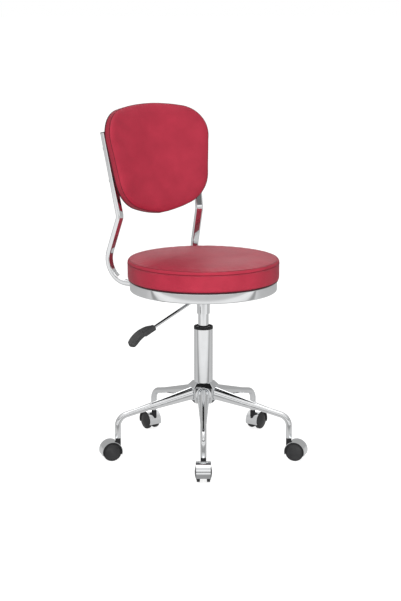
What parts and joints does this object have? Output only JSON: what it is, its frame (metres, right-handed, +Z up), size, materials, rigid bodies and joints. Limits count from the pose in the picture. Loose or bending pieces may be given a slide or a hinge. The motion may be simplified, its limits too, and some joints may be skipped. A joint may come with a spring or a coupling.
{
  "type": "rolling stylist stool",
  "caption": "Round-seat salon stool with a small reclined backrest on flat chrome uprights, a gas lift with side lever, and a chromed star base on hooded twin-wheel casters.",
  "frame": {"origin": "on the floor, on the axis of the column", "axes": "+Z up; the sitter faces -Y, so the backrest is at +Y; the lever is on the sitter's right, -X"},
  "size_m": [0.5534, 0.5354, 0.9226],
  "materials": {
    "chrome": "bright polished chrome plate",
    "zinc_steel": "zinc-plated steel",
    "black_plastic": "fine-textured black plastic",
    "grey_plastic": "smooth light acetal",
    "wheel_plastic": "black nylon, satin disc",
    "rubber": "matt rubber",
    "leather": "crimson synthetic leather, fine grain, soft sheen",
    "plywood": "dark-stained plywood"
  },
  "bodies": {
    "base": {"hub": "chrome", "leg_1": "chrome", "leg_2": "chrome", "leg_3": "chrome", "leg_4": "chrome", "leg_5": "chrome", "leg_sockets": "black_plastic", "column_tube": "chrome", "column_collar": "black_plastic", "guide_bush": "grey_plastic", "column_floor": "zinc_steel"},
    "lift_rod": {"piston_rod": "zinc_steel", "thrust_bearing": "zinc_steel", "rubber_bumper": "rubber", "retaining_clip": "zinc_steel"},
    "seat": {"lift_tube": "chrome", "cylinder_seal": "black_plastic", "taper_sleeve": "chrome", "mechanism_housing": "zinc_steel", "lever_pin": "zinc_steel", "seat_board": "plywood", "seat_cushion": "leather", "seat_ring": "chrome", "seat_screws": "zinc_steel", "tee_nuts": "zinc_steel", "upright_left": "chrome", "upright_right": "chrome", "upright_caps": "black_plastic", "backrest_board": "plywood", "backrest_cushion": "leather", "backrest_spacers": "black_plastic", "backrest_bolts": "chrome"},
    "lever": {"lever_rod": "chrome", "lever_grip": "black_plastic"},
    "release_pin": {"release_pin": "zinc_steel"},
    "caster_1": {"caster_1_hood": "chrome", "caster_1_fork": "black_plastic", "caster_1_stem_and_axle": "zinc_steel"},
    "wheel_1_left": {"caster_1_wheel_left": "wheel_plastic"},
    "wheel_1_right": {"caster_1_wheel_right": "wheel_plastic"},
    "caster_2": {"caster_2_hood": "chrome", "caster_2_fork": "black_plastic", "caster_2_stem_and_axle": "zinc_steel"},
    "wheel_2_left": {"caster_2_wheel_left": "wheel_plastic"},
    "wheel_2_right": {"caster_2_wheel_right": "wheel_plastic"},
    "caster_3": {"caster_3_hood": "chrome", "caster_3_fork": "black_plastic", "caster_3_stem_and_axle": "zinc_steel"},
    "wheel_3_left": {"caster_3_wheel_left": "wheel_plastic"},
    "wheel_3_right": {"caster_3_wheel_right": "wheel_plastic"},
    "caster_4": {"caster_4_hood": "chrome", "caster_4_fork": "black_plastic", "caster_4_stem_and_axle": "zinc_steel"},
    "wheel_4_left": {"caster_4_wheel_left": "wheel_plastic"},
    "wheel_4_right": {"caster_4_wheel_right": "wheel_plastic"},
    "caster_5": {"caster_5_hood": "chrome", "caster_5_fork": "black_plastic", "caster_5_stem_and_axle": "zinc_steel"},
    "wheel_5_left": {"caster_5_wheel_left": "wheel_plastic"},
    "wheel_5_right": {"caster_5_wheel_right": "wheel_plastic"}
  },
  "joints": [
    {"name": "seat_swivel", "type": "hinge", "parent": "base", "child": "lift_rod", "pos_m": [0, 0, 0.15], "axis": [0, 0, 1], "continuous": true},
    {"name": "seat_height", "type": "slide", "parent": "lift_rod", "child": "seat", "axis": [0, 0, 1], "range_m": [-0.024, 0.096]},
    {"name": "lever_lift", "type": "hinge", "parent": "seat", "child": "lever", "pos_m": [-0.026, 0, 0.43], "axis": [0, 1, 0], "range_deg": [0, 8], "stiffness_Nm_per_rad": 2, "springref_deg": -8.59},
    {"name": "release_press", "type": "slide", "parent": "seat", "child": "release_pin", "axis": [0, 0, -1], "range_m": [0, 0.0037]},
    {"name": "caster_1_swivel", "type": "hinge", "parent": "base", "child": "caster_1", "pos_m": [0.01246, 0.23767, 0.06], "axis": [0, 0, 1], "continuous": true},
    {"name": "wheel_1_left_spin", "type": "hinge", "parent": "caster_1", "child": "wheel_1_left", "pos_m": [0.01348, 0.25725, 0.025], "axis": [0.9986, -0.0523, 0], "continuous": true},
    {"name": "wheel_1_right_spin", "type": "hinge", "parent": "caster_1", "child": "wheel_1_right", "pos_m": [0.01348, 0.25725, 0.025], "axis": [0.9986, -0.0523, 0], "continuous": true},
    {"name": "caster_2_swivel", "type": "hinge", "parent": "base", "child": "caster_2", "pos_m": [-0.22219, 0.08529, 0.06], "axis": [0, 0, 1], "continuous": true},
    {"name": "wheel_2_left_spin", "type": "hinge", "parent": "caster_2", "child": "wheel_2_left", "pos_m": [-0.24049, 0.09232, 0.025], "axis": [0.3584, 0.9336, 0], "continuous": true},
    {"name": "wheel_2_right_spin", "type": "hinge", "parent": "caster_2", "child": "wheel_2_right", "pos_m": [-0.24049, 0.09232, 0.025], "axis": [0.3584, 0.9336, 0], "continuous": true},
    {"name": "caster_3_swivel", "type": "hinge", "parent": "base", "child": "caster_3", "pos_m": [-0.14978, -0.18496, 0.06], "axis": [0, 0, 1], "continuous": true},
    {"name": "wheel_3_left_spin", "type": "hinge", "parent": "caster_3", "child": "wheel_3_left", "pos_m": [-0.16211, -0.20019, 0.025], "axis": [-0.7771, 0.6293, 0], "continuous": true},
    {"name": "wheel_3_right_spin", "type": "hinge", "parent": "caster_3", "child": "wheel_3_right", "pos_m": [-0.16211, -0.20019, 0.025], "axis": [-0.7771, 0.6293, 0], "continuous": true},
    {"name": "caster_4_swivel", "type": "hinge", "parent": "base", "child": "caster_4", "pos_m": [0.12962, -0.1996, 0.06], "axis": [0, 0, 1], "continuous": true},
    {"name": "wheel_4_left_spin", "type": "hinge", "parent": "caster_4", "child": "wheel_4_left", "pos_m": [0.1403, -0.21604, 0.025], "axis": [-0.8387, -0.5446, 0], "continuous": true},
    {"name": "wheel_4_right_spin", "type": "hinge", "parent": "caster_4", "child": "wheel_4_right", "pos_m": [0.1403, -0.21604, 0.025], "axis": [-0.8387, -0.5446, 0], "continuous": true},
    {"name": "caster_5_swivel", "type": "hinge", "parent": "base", "child": "caster_5", "pos_m": [0.22989, 0.0616, 0.06], "axis": [0, 0, 1], "continuous": true},
    {"name": "wheel_5_left_spin", "type": "hinge", "parent": "caster_5", "child": "wheel_5_left", "pos_m": [0.24882, 0.06667, 0.025], "axis": [0.2588, -0.9659, 0], "continuous": true},
    {"name": "wheel_5_right_spin", "type": "hinge", "parent": "caster_5", "child": "wheel_5_right", "pos_m": [0.24882, 0.06667, 0.025], "axis": [0.2588, -0.9659, 0], "continuous": true}
  ],
  "couplings": [
    {"joint": "release_press", "follows": "lever_lift", "m_per_rad": 0.026}
  ]
}
